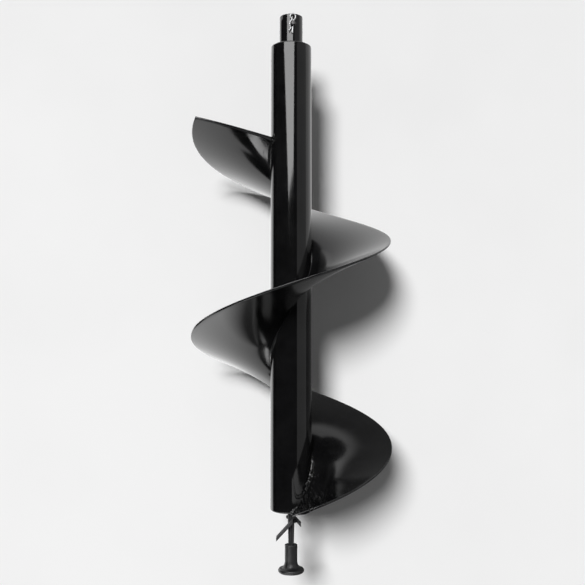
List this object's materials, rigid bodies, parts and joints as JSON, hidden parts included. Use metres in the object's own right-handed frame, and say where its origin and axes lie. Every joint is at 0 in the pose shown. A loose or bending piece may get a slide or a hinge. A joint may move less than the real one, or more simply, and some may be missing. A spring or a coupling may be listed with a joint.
{
  "type": "ice auger bit",
  "caption": "Right-hand ice auger bit: helical steel flight on a tubular core, hollow drive socket with hitch pin and spring clip, fishtail pilot point under a rubber cap.",
  "frame": {"origin": "middle of the drive socket's top face, on the bit's axis", "axes": "+Z along the bit's axis towards the powerhead; the flight's lower end and the pin's plain end face -Y"},
  "size_m": [0.25, 0.25, 0.6989],
  "materials": {
    "black_paint": "gloss black enamel",
    "painted_weld": "gloss black enamel over a rippled weld bead",
    "dark_pin": "dark oxide",
    "zinc_wire": "bright zinc spring wire",
    "cap_rubber": "satin black moulded rubber"
  },
  "bodies": {
    "auger": {"core_tube": "black_paint", "top_plate": "black_paint", "bottom_plate": "black_paint", "top_plate_weld": "painted_weld", "bottom_plate_weld": "painted_weld", "socket_spacer": "black_paint", "pilot_stay": "black_paint", "socket_weld": "painted_weld", "drive_socket": "black_paint", "flight_upper": "black_paint", "flight_lower": "black_paint", "flight_seam_weld": "painted_weld", "cutting_blade": "black_paint", "cutting_blade_weld": "painted_weld", "flight_top_weld": "painted_weld", "stitch_weld_1": "painted_weld", "stitch_weld_2": "painted_weld", "stitch_weld_3": "painted_weld", "flight_bottom_weld": "painted_weld", "pilot_rod": "black_paint", "pilot_blade_front": "black_paint", "pilot_blade_rear": "black_paint", "pilot_blade_front_weld": "painted_weld", "pilot_blade_rear_weld": "painted_weld", "pilot_rod_weld": "painted_weld"},
    "pin": {"hitch_pin": "dark_pin"},
    "clip": {"r_clip": "zinc_wire"},
    "cap": {"tip_cap": "cap_rubber"}
  },
  "joints": [
    {"name": "pin_turn", "type": "hinge", "parent": "auger", "child": "pin", "pos_m": [0, 0, -0.0145], "axis": [0.1392, -0.9903, 0], "range_deg": [-90, 90]},
    {"name": "clip_pull", "type": "slide", "parent": "pin", "child": "clip", "axis": [0.076, 0.0107, 0.9971], "range_m": [0, 0.018], "deforming": ["r_clip"]},
    {"name": "cap_pull", "type": "slide", "parent": "auger", "child": "cap", "axis": [0, 0, -1], "range_m": [0, 0.035]}
  ]
}
